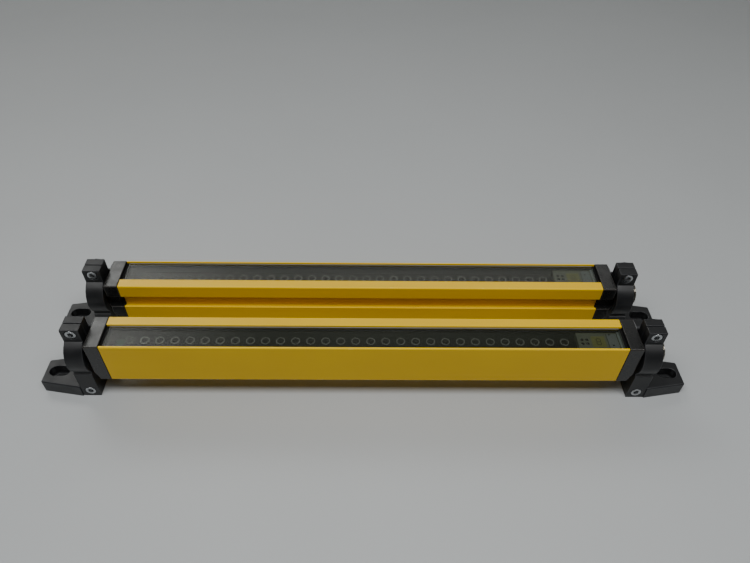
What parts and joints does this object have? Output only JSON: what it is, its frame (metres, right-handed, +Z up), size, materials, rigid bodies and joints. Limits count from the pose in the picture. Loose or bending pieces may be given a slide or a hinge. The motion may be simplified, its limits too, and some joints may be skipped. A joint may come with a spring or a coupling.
{
  "type": "safety light curtain",
  "caption": "Yellow sender and receiver bars of a machine safety light curtain, with tinted windows, end sockets and swivel clamp brackets on slotted feet.",
  "frame": {"origin": "centre of the bounding box, on the plane that the feet stand on", "axes": "+X along the bars towards the sockets, +Y from the sender to the receiver, +Z up through the windows"},
  "size_m": [0.6816, 0.1304, 0.0915],
  "materials": {
    "yellow_profile": "satin",
    "tinted_pane": "gloss",
    "black_rubber": "matte",
    "lens_plastic": "gloss",
    "black_plastic": "matte",
    "dark_epoxy": "satin",
    "circuit_board": "satin",
    "pale_mask": "matte",
    "digit_face": "gloss",
    "led_lens": "gloss",
    "cap_plastic": "satin",
    "bracket_plastic": "satin",
    "zinc_steel": "satin",
    "nickel_shell": "satin",
    "gold_pins": "gloss",
    "grey_lead": "matte"
  },
  "bodies": {
    "brackets": {"sender_left_foot": "bracket_plastic", "sender_right_foot": "bracket_plastic", "sender_left_strap": "bracket_plastic", "sender_right_strap": "bracket_plastic", "sender_clamp_screws": "zinc_steel", "sender_clamp_nuts": "zinc_steel", "receiver_left_foot": "bracket_plastic", "receiver_right_foot": "bracket_plastic", "receiver_left_strap": "bracket_plastic", "receiver_right_strap": "bracket_plastic", "receiver_clamp_screws": "zinc_steel", "receiver_clamp_nuts": "zinc_steel"},
    "sender_bar": {"sender_housing": "yellow_profile", "sender_window": "tinted_pane", "sender_window_end_strips": "black_rubber", "sender_window_seal": "black_rubber", "sender_lens_plate": "lens_plastic", "sender_aperture_body": "black_plastic", "sender_diodes": "dark_epoxy", "sender_main_board": "circuit_board", "sender_board_components": "dark_epoxy", "sender_display_panel": "pale_mask", "sender_display_board": "circuit_board", "sender_display_spacers": "black_plastic", "sender_digit_display": "digit_face", "sender_status_leds": "led_lens", "sender_cap_gaskets": "black_rubber", "sender_plain_cap": "cap_plastic", "sender_socket_cap": "cap_plastic", "sender_cap_screws": "zinc_steel", "sender_socket_shell": "nickel_shell", "sender_socket_insert": "black_plastic", "sender_socket_pins": "gold_pins", "sender_ribbon": "grey_lead"},
    "receiver_bar": {"receiver_housing": "yellow_profile", "receiver_window": "tinted_pane", "receiver_window_end_strips": "black_rubber", "receiver_window_seal": "black_rubber", "receiver_lens_plate": "lens_plastic", "receiver_aperture_body": "black_plastic", "receiver_diodes": "dark_epoxy", "receiver_main_board": "circuit_board", "receiver_board_components": "dark_epoxy", "receiver_display_panel": "pale_mask", "receiver_display_board": "circuit_board", "receiver_display_spacers": "black_plastic", "receiver_digit_display": "digit_face", "receiver_status_leds": "led_lens", "receiver_cap_gaskets": "black_rubber", "receiver_plain_cap": "cap_plastic", "receiver_socket_cap": "cap_plastic", "receiver_cap_screws": "zinc_steel", "receiver_socket_shell": "nickel_shell", "receiver_socket_insert": "black_plastic", "receiver_socket_pins": "gold_pins", "receiver_ribbon": "grey_lead"}
  },
  "joints": [
    {"name": "sender_swivel", "type": "hinge", "parent": "brackets", "child": "sender_bar", "pos_m": [0.00225, -0.04125, 0.0535], "axis": [1, 0, 0], "range_deg": [-180, 180]},
    {"name": "receiver_swivel", "type": "hinge", "parent": "brackets", "child": "receiver_bar", "pos_m": [-0.00225, 0.04125, 0.0535], "axis": [1, 0, 0], "range_deg": [-180, 180]}
  ]
}
